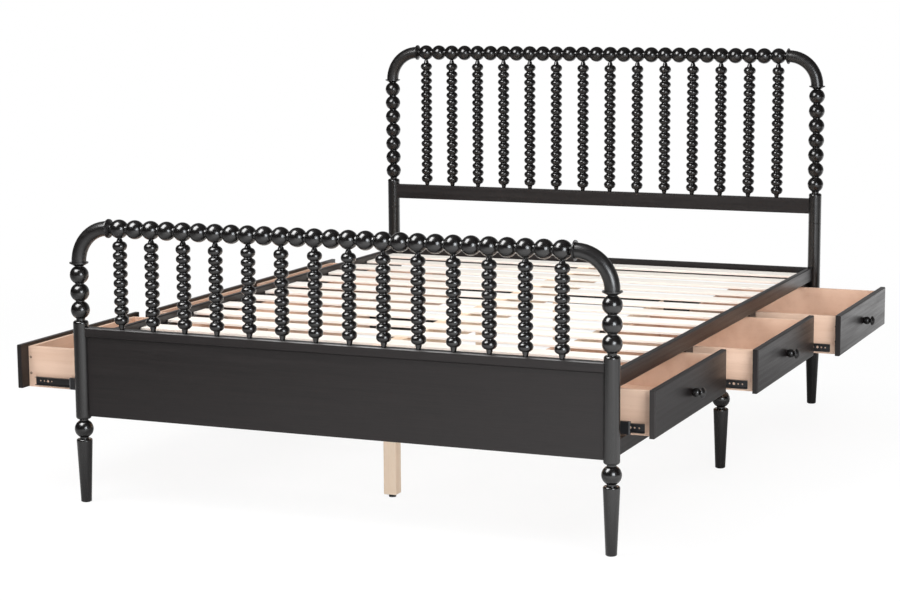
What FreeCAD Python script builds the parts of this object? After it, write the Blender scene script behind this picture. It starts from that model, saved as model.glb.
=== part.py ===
"""Queen-size spindle bed with a slatted base and three drawers on each long side, in millimetres.

X runs across the bed, Y from the foot to the head and Z up. The origin is on the floor in the middle.
The drawers stand open as far as the rest_open sizes say.
"""
import FreeCAD, Part
import math
import os
import Sketcher

# Driving dimensions in millimetres, and counts
DIMENSIONS = {
    # overall frame
    "post_span_x": 1580, "post_span_y": 2134, "rail_top_z": 476, "lower_top_z": 294, "mid_rail_lift": 234.5,
    "foot_spindle_long": 256.75, "head_spindle_long": 456.5,
    # turned posts and their balls
    "post_dia": 43.5, "post_round": 7, "post_shoulder": 30, "split_drop": 32, "split_bevel": 0.8,
    "ball_dia": 53.5, "neck_dia": 25, "neck_least": 1, "ball_pitch": 49.9, "foot_post_balls": 3,
    "head_post_balls": 7, "rail_balls": 27,
    # turned legs
    "leg_ball_drop": 37.6, "leg_ball_gap": 5, "leg_top_dia": 45, "leg_foot_dia": 30.5, "leg_round": 5,
    "leg_edge": 1, "leg_tenon_dia": 18, "leg_tenon_long": 30, "glide_dia": 24, "glide_thick": 1.5,
    # elbows and their dowels
    "elbow_radius": 99, "elbow_dia": 41.5, "collar_dia": 53.5, "collar_rim": 3, "collar_cone": 8,
    "collar_gap": 1.3, "dowel_dia": 12, "dowel_long": 36, "fit_gap": 0.2, "bore_spare": 1,
    # spindles
    "bead_dia": 41, "bead_root_dia": 25.5, "bead_neck_dia": 24, "bead_cove": 4, "end_bead_dia": 41.5,
    "end_bead_outer": 13.5, "end_bead_inner": 12, "end_bead_neck_dia": 19, "spindle_end": 10.8,
    "spindle_end_dia": 12.6, "pin_dia": 10.4, "pin_long": 18, "foot_beads": 9, "head_beads": 17,
    "foot_bead_rise": 2.9, "head_bead_rise": 0,
    # foot cap rail, panels and head middle rail
    "cap_gap": 2, "cap_high": 27, "cap_deep": 30, "cap_front": 11, "cap_edge": 2.5, "panel_thick": 18,
    "panel_front": 4, "head_panel_drop": 2.5, "head_panel_high": 46, "head_lower_lift": 53,
    "head_lower_high": 40, "mid_rail_high": 50.5, "mid_rail_deep": 24, "board_reach": 14, "board_edge": 1.5,
    # side rails
    "rail_high": 46, "rail_thick": 18, "rail_end_gap": 1, "rail_edge": 2.5, "lower_high": 44,
    "lower_thick": 36,
    # slats and what carries them
    "slat_count": 13, "slat_wide": 74, "slat_thick": 8, "slat_drop": 16, "slat_foot_space": 118,
    "slat_head_space": 42, "slat_end_gap": 2, "slat_edge": 1, "cleat_wide": 20, "beam_wide": 40,
    "beam_high": 60, "centre_leg_wide": 38, "centre_leg_pitch": 693, "centre_leg_edge": 1.5,
    "centre_glide_dia": 21, "centre_glide_high": 9,
    # drawer bays
    "stile_wide": 71, "stile_thick": 18, "carrier_thick": 15, "carrier_high": 60, "inner_rail_thick": 18,
    "inner_rail_high": 46, "bay_back_gap": 14.5,
    # drawers
    "front_thick": 16, "front_gap": 21, "front_low_gap": 7, "front_high_gap": 2, "front_bevel": 3,
    "front_stop_gap": 0.5, "box_deep": 480, "box_wall": 12, "box_floor": 6, "box_floor_lift": 10,
    "box_groove": 5, "box_low_gap": 6, "box_high_gap": 11,
    # drawer knobs, from the foot of the ball to the dome of the cap
    "knob_foot_dia": 17, "knob_ball_dia": 25, "knob_ball_rise": 11.5, "knob_ball_fall": 10.5,
    "knob_waist_dia": 11, "knob_flare": 4, "knob_cap_dia": 30, "knob_cap_rim": 2, "knob_dome": 9,
    # drawer slides
    "slide_wide": 12.7, "slide_short": 30, "slide_lift": 19, "slide_steel": 1.5, "slide_run_gap": 0.3,
    "drawer_member_high": 24, "middle_member_high": 34, "drawer_member_set": 24, "middle_member_set": 17,
    "fixed_member_set": 14, "middle_share": 0.5, "slide_hole_dia": 5, "slide_wide_hole_dia": 8,
    "slide_hole_first": 15, "slide_hole_pitch": 12.5,
    # how far each drawer stands open, counted from the foot
    "rest_open_right_1": 96.5, "rest_open_right_2": 182.5, "rest_open_right_3": 260,
    "rest_open_left_1": 260, "rest_open_left_2": 235.5, "rest_open_left_3": 231.5,
    # corner brackets
    "bracket_leg": 40, "bracket_thick": 3, "bracket_high": 18, "bracket_lift": 2, "screw_dia": 4,
    "screw_long": 14, "screw_head_dia": 8, "screw_head_high": 2, "screw_first": 14, "screw_second": 31,
}

SIDES = {"left": -1, "right": 1}
ENDS = {"foot": -1, "head": 1}
BAYS = (1, 2, 3)
X_AXIS = FreeCAD.Vector(1, 0, 0)
Y_AXIS = FreeCAD.Vector(0, 1, 0)
Z_AXIS = FreeCAD.Vector(0, 0, 1)

doc = FreeCAD.newDocument("spindle_storage_bed")
sheet = doc.addObject("Spreadsheet::Sheet", "Sizes")
for row, (alias, number) in enumerate(DIMENSIONS.items(), start=1):
    sheet.set(f"A{row}", alias)
    sheet.set(f"B{row}", str(number))
    sheet.setAlias(f"B{row}", alias)
doc.recompute()


class Size:
    """A number together with the formula on the sheet that gives it."""

    def __init__(self, value, formula):
        self.value = value
        self.formula = formula

    def joined(self, sign, other, value, turned=False):
        """Return the size that a sign makes of this one and another."""
        formulas = [self.formula, size(other).formula]
        if turned:
            formulas.reverse()
        return Size(value, f"({formulas[0]} {sign} {formulas[1]})")

    def __add__(self, other):
        return self.joined("+", other, self.value + size(other).value)

    def __sub__(self, other):
        return self.joined("-", other, self.value - size(other).value)

    def __mul__(self, other):
        return self.joined("*", other, self.value * size(other).value)

    def __truediv__(self, other):
        return self.joined("/", other, self.value / size(other).value)

    def __radd__(self, other):
        return self.joined("+", other, size(other).value + self.value, turned=True)

    def __rsub__(self, other):
        return self.joined("-", other, size(other).value - self.value, turned=True)

    def __rmul__(self, other):
        return self.joined("*", other, size(other).value * self.value, turned=True)

    def __neg__(self):
        return self.joined("*", -1, -self.value)


def size(amount):
    """Return a size for a plain number, and a size as it is."""
    return amount if isinstance(amount, Size) else Size(amount, str(amount))


def cell(alias):
    """Return the size held in a cell of the sheet."""
    return Size(float(sheet.get(alias)), f"Sizes.{alias}")


def count(alias):
    """Return the whole number held in a cell of the sheet."""
    return int(round(sheet.get(alias)))


def root(amount):
    """Return the square root of a size."""
    return Size(math.sqrt(amount.value), f"sqrt({amount.formula})")


def larger(first, second):
    """Return the larger of two sizes."""
    second = size(second)
    return Size(max(first.value, second.value), f"max({first.formula}; {second.formula})")


def bind(item, **properties):
    """Bind properties of an object to sizes."""
    for name, amount in properties.items():
        item.setExpression(name, size(amount).formula)


def put(item, x=0, y=0, z=0, rotation=None):
    """Place an object, with its coordinates bound to sizes."""
    if rotation:
        item.Placement = FreeCAD.Placement(FreeCAD.Vector(0, 0, 0), rotation)
    for axis, amount in zip("xyz", (x, y, z)):
        item.setExpression(f"Placement.Base.{axis}", size(amount).formula)
    return item


def turn(axis, degrees):
    """Return a rotation about an axis."""
    return FreeCAD.Rotation(axis, degrees)


def block(name, x, y, z, grow=(0, 0, 0)):
    """Return a box between two values on each axis, enlarged on both sides by grow's value for that axis."""
    item = doc.addObject("Part::Box", name)
    lows = []
    for prop, ends, spare in zip(("Length", "Width", "Height"), (x, y, z), grow):
        low, high = sorted((size(end) for end in ends), key=lambda end: end.value)
        bind(item, **{prop: high - low + 2 * size(spare)})
        lows.append(low - spare)
    return put(item, *lows)


def rod(name, dia, length, x, y, z, rotation=None):
    """Return a cylinder that starts at a point and runs along Z, or along Z turned by a rotation."""
    item = doc.addObject("Part::Cylinder", name)
    bind(item, Radius=size(dia) / 2, Height=length)
    return put(item, x, y, z, rotation)


def cut(name, base, tools):
    """Return a base with tools taken out of it."""
    item = doc.addObject("Part::Cut", name)
    item.Base = base
    item.Tool = tools[0] if len(tools) == 1 else group(name + "_tools", tools)
    return item


def joined(name, pieces):
    """Return several solids grown into one."""
    item = doc.addObject("Part::MultiFuse", name)
    item.Shapes = pieces
    return item


def group(name, pieces):
    """Return several separate solids as one object."""
    item = doc.addObject("Part::Compound", name)
    item.Links = pieces
    return item


def copies(name, source, places):
    """Return a group of copies of a source, one at each place of (x, y, z, rotation)."""
    items = [put(group(f"{name}_{i}", [source]), *place) for i, place in enumerate(places, start=1)]
    return group(name, items)


def eased(name, base, edge, chosen=lambda line: True):
    """Return a base with the chosen edges bevelled."""
    doc.recompute()
    item = doc.addObject("Part::Chamfer", name)
    item.Base = base
    lines = enumerate(base.Shape.Edges, start=1)
    item.Edges = [(number, edge.value, edge.value) for number, line in lines if chosen(line)]
    return item


def arc_middle(start, end, radius):
    """Return the middle of the arc from start to end whose centre is on the left, or right if negative."""
    chord = end - start
    half = chord.Length / 2
    rise = abs(radius) - math.sqrt(max(radius * radius - half * half, 0))
    right = FreeCAD.Vector(chord.y, -chord.x, 0).normalize()
    return start + chord / 2 + right * math.copysign(rise, radius)


def lathe(name, outline):
    """Return a body turned about Z from an outline that starts and ends on the axis.

    The outline lists (radius, height) points. A third value is the radius of the arc that leads to the point,
    round outwards, or hollow where it is negative.
    """
    body = doc.addObject("PartDesign::Body", name)
    profile = body.newObject("Sketcher::SketchObject", name + "_profile")
    plane = [item for item in body.Origin.OriginFeatures if item.Role == "XZ_Plane"][0]
    profile.AttachmentSupport = [(plane, "")]
    profile.MapMode = "FlatFace"
    points = [FreeCAD.Vector(size(point[0]).value, size(point[1]).value, 0) for point in outline]
    following = list(range(1, len(outline))) + [0]
    lines = []
    for i, j in enumerate(following):
        if len(outline[j]) == 3:
            curve = Part.Arc(points[i], arc_middle(points[i], points[j], outline[j][2].value), points[j])
        else:
            curve = Part.LineSegment(points[i], points[j])
        lines.append(profile.addGeometry(curve))
    starts = [1 if profile.getPoint(line, 1).isEqual(points[i], 1e-6) else 2 for i, line in enumerate(lines)]
    rules = [Sketcher.Constraint("Coincident", lines[i], 3 - starts[i], lines[j], starts[j])
             for i, j in enumerate(following)]
    formulas = {}
    for i, point in enumerate(outline):
        for kind, axis, amount in (("DistanceX", -2, point[0]), ("DistanceY", -1, point[1])):
            if isinstance(amount, Size):
                formulas[len(rules)] = amount.formula
                rules.append(Sketcher.Constraint(kind, lines[i], starts[i], amount.value))
            else:
                rules.append(Sketcher.Constraint("PointOnObject", lines[i], starts[i], axis))
        if len(point) == 3:
            formulas[len(rules)] = f"abs({point[2].formula})"
            rules.append(Sketcher.Constraint("Radius", lines[i - 1], abs(point[2].value)))
    profile.addConstraint(rules)
    for number, formula in formulas.items():
        profile.setExpression(f"Constraints[{number}]", formula)
    solid = body.newObject("PartDesign::Revolution", name + "_turning")
    solid.Profile = profile
    solid.ReferenceAxis = (profile, ["V_Axis"])
    solid.Angle = 360
    return body


# Heights and ends that many pieces share
half_x = cell("post_span_x") / 2
half_y = cell("post_span_y") / 2
fit_gap = cell("fit_gap")
rail_bottom_z = cell("rail_top_z") - cell("rail_high")
lower_bottom_z = cell("lower_top_z") - cell("lower_high")
cap_bottom_z = cell("rail_top_z") + cell("cap_gap")
mid_rail_top_z = cell("rail_top_z") + cell("mid_rail_lift")
seat_z = {"foot": cap_bottom_z + cell("cap_high"), "head": mid_rail_top_z}
split_z = mid_rail_top_z - cell("mid_rail_high") - cell("split_drop")
slat_top_z = cell("rail_top_z") - cell("slat_drop")
slat_bottom_z = slat_top_z - cell("slat_thick")
panel_rear = cell("panel_thick") - cell("panel_front")
board_end_x = half_x - cell("board_reach")
rail_end_y = half_y - panel_rear - cell("rail_end_gap")
rail_inner_x = half_x - cell("rail_thick")
mid_leg_x = half_x - cell("lower_thick") / 2

# Balls: where they stand close, their necks are as thick as the balls ask
ball_radius = cell("ball_dia") / 2
nominal_neck = cell("neck_dia") / 2
collar_long = cell("collar_rim") + cell("collar_cone")
collar_offset = root(ball_radius * ball_radius - nominal_neck * nominal_neck) + cell("collar_gap")
elbow_drop = cell("elbow_radius") + collar_long + collar_offset
rail_run = 2 * (half_x - elbow_drop)
rail_pitch = rail_run / (cell("rail_balls") - 1)
neck_radius = nominal_neck
for pitch in (rail_pitch, cell("ball_pitch")):
    widest = (pitch - cell("neck_least")) / 2
    neck_radius = larger(neck_radius, root(larger(ball_radius * ball_radius - widest * widest, 0)))
ball_half = root(ball_radius * ball_radius - neck_radius * neck_radius)
rail_z = {end: seat_z[end] + cell(end + "_spindle_long") + ball_radius for end in ENDS}
spindle_places = range(0, count("rail_balls"), 2)
leg_ball_z = lower_bottom_z - cell("leg_ball_drop")
leg_shoulder_z = leg_ball_z - ball_half - cell("leg_ball_gap")
post_bottom_z = leg_ball_z + ball_half + cell("leg_ball_gap")

# Drawer bays: a pitch along the bed, and the closed drawer's faces
bay_pitch = (2 * (half_y - panel_rear) - cell("stile_wide")) / len(BAYS)
bay_wide = bay_pitch - cell("stile_wide")
stile_front_x = half_x - cell("front_thick")
stile_rear_x = stile_front_x - cell("stile_thick")
front_inner_x = stile_front_x + cell("front_stop_gap")
front_outer_x = front_inner_x + cell("front_thick")
front_z = (cell("lower_top_z") + cell("front_low_gap"), rail_bottom_z - cell("front_high_gap"))
box_rear_x = front_inner_x - cell("box_deep")
inner_rail_x = box_rear_x - cell("bay_back_gap")

nodes = []


def node(item):
    """Keep an object as one of the bed's named pieces."""
    nodes.append(item)
    return item


def bulge_radius(reach, neck, half):
    """Return the arc radius of a bead that bulges from a neck to its reach within half its height."""
    rise = reach - neck
    return (rise * rise + half * half) / (2 * rise)


def ball_row(first, pitch, number):
    """Return the outline of a row of balls with necks between them, from the first ball's centre up."""
    outline = []
    for i in range(number):
        centre = first + i * pitch
        outline.append((neck_radius, centre - ball_half))
        outline.append((neck_radius, centre + ball_half, ball_radius))
    return outline


def post_outline(bottom, top, bottom_round, top_round):
    """Return the outline of a straight post from its bottom to its top face, with both ends rounded."""
    radius = cell("post_dia") / 2
    outline = [(0, bottom), (radius - bottom_round, bottom)]
    outline.append((radius, bottom + bottom_round, bottom_round))
    outline.append((radius, top - top_round))
    outline.append((radius - top_round, top, top_round))
    return outline


def balls_and_neck(end):
    """Return a post's top height, the outline of its balls and its height under the elbow's collar."""
    first = rail_z[end] - elbow_drop
    number = count(end + "_post_balls")
    lowest = first - (number - 1) * cell("ball_pitch")
    collar_z = first + collar_offset
    outline = [(neck_radius, lowest - cell("post_shoulder"))]
    outline += ball_row(lowest, cell("ball_pitch"), number)
    outline += [(neck_radius, collar_z), (0, collar_z)]
    return lowest - cell("post_shoulder"), outline, collar_z


def dowel_bore(name, x, y, z, rotation=None):
    """Return the cutter for half a dowel, from a joint's face inwards."""
    depth = cell("dowel_long") / 2 + cell("bore_spare")
    return rod(name, cell("dowel_dia") + 2 * fit_gap, depth, x, y, z, rotation)


def leg_bore(name, x, y, z):
    """Return the cutter for a leg's tenon, from a bottom face up."""
    depth = cell("leg_tenon_long") + cell("bore_spare")
    return rod(name, cell("leg_tenon_dia") + 2 * fit_gap, depth, x, y, z)


def board_ranges(end):
    """Return the ranges across X, Y and Z of each board that stands between the two posts of an end."""
    across = (-board_end_x, board_end_x)
    panel_y = (ENDS[end] * (half_y + cell("panel_front")), ENDS[end] * (half_y - panel_rear))
    if end == "foot":
        cap_y = (-half_y - cell("cap_front"), cell("cap_deep") - half_y - cell("cap_front"))
        return {"foot_cap_rail": (across, cap_y, (cap_bottom_z, seat_z["foot"])),
                "foot_panel": (across, panel_y, (lower_bottom_z, cap_bottom_z))}
    mid_y = (half_y - cell("mid_rail_deep") / 2, half_y + cell("mid_rail_deep") / 2)
    mid_z = (mid_rail_top_z - cell("mid_rail_high"), mid_rail_top_z)
    panel_top_z = cell("rail_top_z") - cell("head_panel_drop")
    low_z = lower_bottom_z + cell("head_lower_lift")
    return {"head_mid_rail": (across, mid_y, mid_z),
            "head_panel": (across, panel_y, (panel_top_z - cell("head_panel_high"), panel_top_z)),
            "head_lower_rail": (across, panel_y, (low_z, low_z + cell("head_lower_high")))}


def rail_ranges(side):
    """Return the ranges across X, Y and Z of the upper and the lower rail of a side."""
    along = (-rail_end_y, rail_end_y)
    upper_x = (SIDES[side] * rail_inner_x, SIDES[side] * half_x)
    lower_x = (SIDES[side] * (half_x - cell("lower_thick")), SIDES[side] * half_x)
    return [(upper_x, along, (rail_bottom_z, cell("rail_top_z"))),
            (lower_x, along, (lower_bottom_z, cell("lower_top_z")))]


def mortises(name, boards, rails=()):
    """Return the cutters that let boards along X and rails along Y into a post, as deep as they reach."""
    cutters = [block(f"{name}_mortise_{i}", *spans, grow=(0, fit_gap, fit_gap))
               for i, spans in enumerate(boards, start=1)]
    return cutters + [block(f"{name}_rail_mortise_{i}", *spans, grow=(fit_gap, 0, fit_gap))
                      for i, spans in enumerate(rails, start=1)]


def make_posts():
    """Make the four corner posts and the upper head posts, with mortises and bores."""
    upper_posts = []
    for end, end_sign in ENDS.items():
        top, balls, collar_z = balls_and_neck(end)
        boards = board_ranges(end)
        for side, side_sign in SIDES.items():
            name = f"{end}_post_{side}"
            x, y = side_sign * half_x, end_sign * half_y
            rails = rail_ranges(side)
            if end == "foot":
                outline = post_outline(post_bottom_z, top, cell("post_round"), cell("post_round"))
                tools = mortises(name, boards.values(), rails)
                tools.append(dowel_bore(name + "_bore", x, y, collar_z, turn(X_AXIS, 180)))
                blank = lathe(name + "_turned", outline + balls)
            else:
                outline = post_outline(post_bottom_z, split_z, cell("post_round"), cell("split_bevel"))
                tools = mortises(name, [boards["head_panel"], boards["head_lower_rail"]], rails)
                tools.append(dowel_bore(name + "_bore", x, y, split_z, turn(X_AXIS, 180)))
                blank = lathe(name + "_turned", outline + [(0, split_z)])
                upper_outline = post_outline(split_z, top, cell("split_bevel"), cell("post_round"))
                upper = put(lathe(f"upper_post_{side}_turned", upper_outline + balls), x, y)
                upper_tools = mortises("upper_" + name, [boards["head_mid_rail"]])
                upper_tools.append(dowel_bore("upper_" + name + "_foot_bore", x, y, split_z))
                upper_tools.append(dowel_bore("upper_" + name + "_bore", x, y, collar_z, turn(X_AXIS, 180)))
                upper_posts.append(cut("upper_" + name, upper, upper_tools))
            tools.append(leg_bore(name + "_leg_bore", x, y, post_bottom_z))
            node(cut(name, put(blank, x, y), tools))
    node(group("head_upper_posts", upper_posts))


def make_elbows():
    """Make the bent elbows with their collars, two at each end of the bed."""
    radius = cell("elbow_radius")
    bend = doc.addObject("Part::Torus", "elbow_bend")
    bind(bend, Radius1=radius, Radius2=cell("elbow_dia") / 2)
    bend.Angle3 = 90
    put(bend, rotation=turn(X_AXIS, 90))
    pieces = [bend]
    bores = []
    ways = {"rail": (0, radius, turn(Y_AXIS, -90)), "post": (radius, 0, turn(X_AXIS, 180))}
    for way, (x, z, rotation) in ways.items():
        toward_x = -1 if way == "rail" else 0
        toward_z = -1 if way == "post" else 0
        rim = cell("collar_rim")
        pieces.append(rod(f"elbow_{way}_rim", cell("collar_dia"), rim, x, 0, z, rotation))
        cone = doc.addObject("Part::Cone", f"elbow_{way}_cone")
        bind(cone, Radius1=cell("collar_dia") / 2, Radius2=neck_radius, Height=cell("collar_cone"))
        pieces.append(put(cone, x + toward_x * rim, 0, z + toward_z * rim, rotation))
        back = turn(Y_AXIS, 90) if way == "rail" else None
        face = (x + toward_x * collar_long, 0, z + toward_z * collar_long)
        bores.append(dowel_bore(f"elbow_{way}_bore", *face, back))
    elbow = cut("elbow", joined("elbow_blank", pieces), bores)
    for end, sign in ENDS.items():
        y, z = sign * half_y, rail_z[end] - radius
        places = [(radius - half_x, y, z, turn(Z_AXIS, 180)), (half_x - radius, y, z)]
        node(copies(end + "_elbows", elbow, places))


def make_top_rails():
    """Make the rows of balls along the top of the foot and the head, drilled for spindles and dowels."""
    length = rail_run + 2 * collar_offset
    outline = [(0, 0), (neck_radius, 0)] + ball_row(collar_offset, rail_pitch, count("rail_balls"))
    outline += [(neck_radius, length), (0, length)]
    for end, sign in ENDS.items():
        blank = lathe(end + "_top_rail_turned", outline)
        tools = [dowel_bore(end + "_top_rail_start", 0, 0, 0),
                 dowel_bore(end + "_top_rail_end", 0, 0, length, turn(X_AXIS, 180))]
        for place in spindle_places:
            tools.append(rod(f"{end}_top_rail_bore_{place}", cell("pin_dia") + 2 * fit_gap, ball_radius,
                             0, 0, collar_offset + place * rail_pitch, turn(Y_AXIS, 90)))
        rail = cut(end + "_top_rail", blank, tools)
        node(put(rail, -length / 2, sign * half_y, rail_z[end], turn(Y_AXIS, 90)))


def spindle_outline(gap, beads, rise):
    """Return the outline of a spindle for the gap between its seat and a ball.

    The beads stand above the middle of the gap by the rise.
    """
    pin, end = cell("pin_dia") / 2, cell("spindle_end_dia") / 2
    edge, end_neck = cell("bead_root_dia") / 2, cell("end_bead_neck_dia") / 2
    bead, end_bead = cell("bead_dia") / 2, cell("end_bead_dia") / 2
    outer, inner, cove = cell("end_bead_outer"), cell("end_bead_inner"), cell("bead_cove")
    foot = cell("pin_long")
    low = foot + cell("spindle_end") + rise
    high = foot + gap - cell("spindle_end") + rise
    crown = foot + gap + ball_radius - cell("bore_spare")
    bead_high = (high - low - 2 * (outer + inner) - (beads - 1) * cove) / (beads - 2)
    bead_arc = bulge_radius(bead, edge, bead_high / 2)
    cove_arc = -bulge_radius(edge, cell("bead_neck_dia") / 2, cove / 2)
    outer_arc = bulge_radius(end_bead, end_neck, outer)
    inner_arc = bulge_radius(end_bead, edge, inner)
    outline = [(0, 0), (pin, 0), (pin, foot), (end, foot), (end_neck, low)]
    outline += [(end_bead, low + outer, outer_arc), (edge, low + outer + inner, inner_arc)]
    for i in range(beads - 2):
        start = low + outer + inner + i * (bead_high + cove)
        outline += [(edge, start + cove, cove_arc), (edge, start + cove + bead_high, bead_arc)]
    outline.append((edge, high - outer - inner, cove_arc))
    outline += [(end_bead, high - outer, inner_arc), (end_neck, high, outer_arc)]
    return outline + [(end, foot + gap), (pin, foot + gap), (pin, crown), (0, crown)]


def make_spindles():
    """Make the spindles of the foot and the head, under every other ball of the top rails."""
    for end, sign in ENDS.items():
        beads, rise = count(end + "_beads"), cell(end + "_bead_rise")
        spindle = lathe(end + "_spindle", spindle_outline(cell(end + "_spindle_long"), beads, rise))
        places = [(place * rail_pitch - rail_run / 2, sign * half_y, seat_z[end] - cell("pin_long"))
                  for place in spindle_places]
        node(copies(end + "_spindles", spindle, places))


def make_boards():
    """Make the panels and rails between the posts, with bores for the spindles in the two that carry them."""
    for end, sign in ENDS.items():
        for name, ranges in board_ranges(end).items():
            if name == "head_lower_rail":
                continue
            board = block(name + "_board", *ranges)
            if "panel" in name:
                node(eased(name, board, cell("board_edge")))
                continue
            depth = cell("pin_long") + cell("bore_spare")
            bores = [rod(f"{name}_bore_{place}", cell("pin_dia") + 2 * fit_gap, depth,
                         place * rail_pitch - rail_run / 2, sign * half_y, seat_z[end] - depth)
                     for place in spindle_places]
            edge = cell("cap_edge") if name == "foot_cap_rail" else cell("board_edge")
            node(cut(name, eased(name + "_eased", board, edge), bores))


def make_side_rails():
    """Make the upper side rails and the lower rails of the sides and the head, bored for middle legs."""
    head_board = block("head_lower_rail_board", *board_ranges("head")["head_lower_rail"])
    lower_rails = [eased("head_lower_rail", head_board, cell("board_edge"))]
    for side, sign in SIDES.items():
        upper, lower = rail_ranges(side)
        node(eased("side_rail_" + side, block(f"side_rail_{side}_board", *upper), cell("rail_edge")))
        name = "lower_rail_" + side
        rail = eased(name + "_eased", block(name + "_board", *lower), cell("board_edge"))
        lower_rails.append(cut(name, rail, [leg_bore(name + "_bore", sign * mid_leg_x, 0, lower_bottom_z)]))
    node(group("lower_rails", lower_rails))


def leg_outline(top):
    """Return the outline of a turned leg from its glide to a face that it stands under."""
    foot, shoulder = cell("leg_foot_dia") / 2, cell("leg_top_dia") / 2
    tenon = cell("leg_tenon_dia") / 2
    edge, rounding = cell("leg_edge"), cell("leg_round")
    outline = [(0, cell("glide_thick")), (foot - edge, cell("glide_thick"))]
    outline.append((foot, cell("glide_thick") + edge, edge))
    outline.append((shoulder, leg_shoulder_z - rounding))
    outline.append((shoulder - rounding, leg_shoulder_z, rounding))
    outline.append((neck_radius, leg_shoulder_z))
    outline += ball_row(leg_ball_z, cell("ball_pitch"), 1)
    outline += [(neck_radius, top), (tenon, top), (tenon, top + cell("leg_tenon_long"))]
    return outline + [(0, top + cell("leg_tenon_long"))]


def make_legs():
    """Make the turned legs, the centre legs and the glides under all of them."""
    corner_places = [(side * half_x, end * half_y, 0) for end in ENDS.values() for side in SIDES.values()]
    middle_places = [(side * mid_leg_x, 0, 0) for side in SIDES.values()]
    corner = lathe("corner_leg", leg_outline(post_bottom_z))
    middle = lathe("middle_leg", leg_outline(lower_bottom_z))
    legs = [copies("corner_legs", corner, corner_places), copies("middle_legs", middle, middle_places)]
    node(group("turned_legs", legs))
    half = cell("centre_leg_wide") / 2
    beam_bottom = slat_bottom_z - cell("beam_high")
    stick = block("centre_leg_stick", (-half, half), (-half, half), (cell("centre_glide_high"), beam_bottom))
    centre_places = [(0, row * cell("centre_leg_pitch"), 0) for row in (-1, 0, 1)]
    centre_leg = eased("centre_leg", stick, cell("centre_leg_edge"))
    node(copies("centre_legs", centre_leg, centre_places))
    leg_glide = rod("leg_glide", cell("glide_dia"), cell("glide_thick"), 0, 0, 0)
    centre_glide = rod("centre_glide", cell("centre_glide_dia"), cell("centre_glide_high"), 0, 0, 0)
    glides = [copies("turned_leg_glides", leg_glide, corner_places + middle_places),
              copies("centre_leg_glides", centre_glide, centre_places)]
    node(group("leg_glides", glides))


def make_slat_base():
    """Make the slats, the cleats and the beam that carry them."""
    half_wide = cell("slat_wide") / 2
    end_x = rail_inner_x - cell("slat_end_gap")
    board = block("slat_board", (-end_x, end_x), (-half_wide, half_wide), (slat_bottom_z, slat_top_z))
    slat = eased("slat", board, cell("slat_edge"))
    first_y = panel_rear - half_y + cell("slat_foot_space") + half_wide
    last_y = half_y - panel_rear - cell("slat_head_space") - half_wide
    pitch = (last_y - first_y) / (cell("slat_count") - 1)
    places = [(0, first_y + i * pitch, 0) for i in range(count("slat_count"))]
    node(copies("slats", slat, places))
    along = (panel_rear - half_y, half_y - panel_rear)
    cleats = []
    for side, sign in SIDES.items():
        cleat_x = (sign * (rail_inner_x - cell("cleat_wide")), sign * rail_inner_x)
        cleats.append(block("cleat_" + side, cleat_x, along, (rail_bottom_z, slat_bottom_z)))
    node(group("slat_cleats", cleats))
    beam_x = (-cell("beam_wide") / 2, cell("beam_wide") / 2)
    node(block("centre_beam", beam_x, along, (slat_bottom_z - cell("beam_high"), slat_bottom_z)))


def make_bays():
    """Make the stiles, scribed round the posts, the slides' carriers and the rails behind the drawers."""
    base_z = cell("lower_top_z")
    carrier_z = (base_z, base_z + cell("carrier_high"))
    inner_rail_z = (base_z, base_z + cell("inner_rail_high"))
    half = cell("stile_wide") / 2
    partitions = []
    inner_rails = []
    for side, sign in SIDES.items():
        stile_x = (sign * stile_rear_x, sign * stile_front_x)
        carrier_x = (sign * inner_rail_x, sign * stile_rear_x)
        for i in range(len(BAYS) + 1):
            centre = (i - len(BAYS) / 2) * bay_pitch
            stile_y = (centre - half, centre + half)
            stile = block(f"stile_{side}_{i}_board", stile_x, stile_y, (base_z, rail_bottom_z))
            post_y = half_y if centre.value > 0 else -half_y
            room = rod(f"stile_{side}_{i}_room", cell("post_dia") + 2 * fit_gap, rail_bottom_z - base_z,
                       sign * half_x, post_y, base_z)
            partitions.append(cut(f"stile_{side}_{i}", stile, [room]))
            for face in (-1, 1):
                if (i == 0 and face == -1) or (i == len(BAYS) and face == 1):
                    continue
                carrier_y = (centre + face * half, centre + face * (half - cell("carrier_thick")))
                partitions.append(block(f"carrier_{side}_{i}_{face + 1}", carrier_x, carrier_y, carrier_z))
        rail_x = (sign * inner_rail_x, sign * (inner_rail_x - cell("inner_rail_thick")))
        along = (panel_rear - half_y, half_y - panel_rear)
        inner_rails.append(block("inner_rail_" + side, rail_x, along, inner_rail_z))
    node(group("drawer_partitions", partitions))
    node(group("inner_rails", inner_rails))


def drawer_front():
    """Return a closed drawer's front, bevelled round its outer face."""
    half = (bay_pitch - cell("front_gap")) / 2
    plate = block("front_plate", (front_inner_x, front_outer_x), (-half, half), front_z)
    middle = (front_inner_x.value + front_outer_x.value) / 2
    return eased("front", plate, cell("front_bevel"), lambda line: line.BoundBox.XMin > middle)


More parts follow.
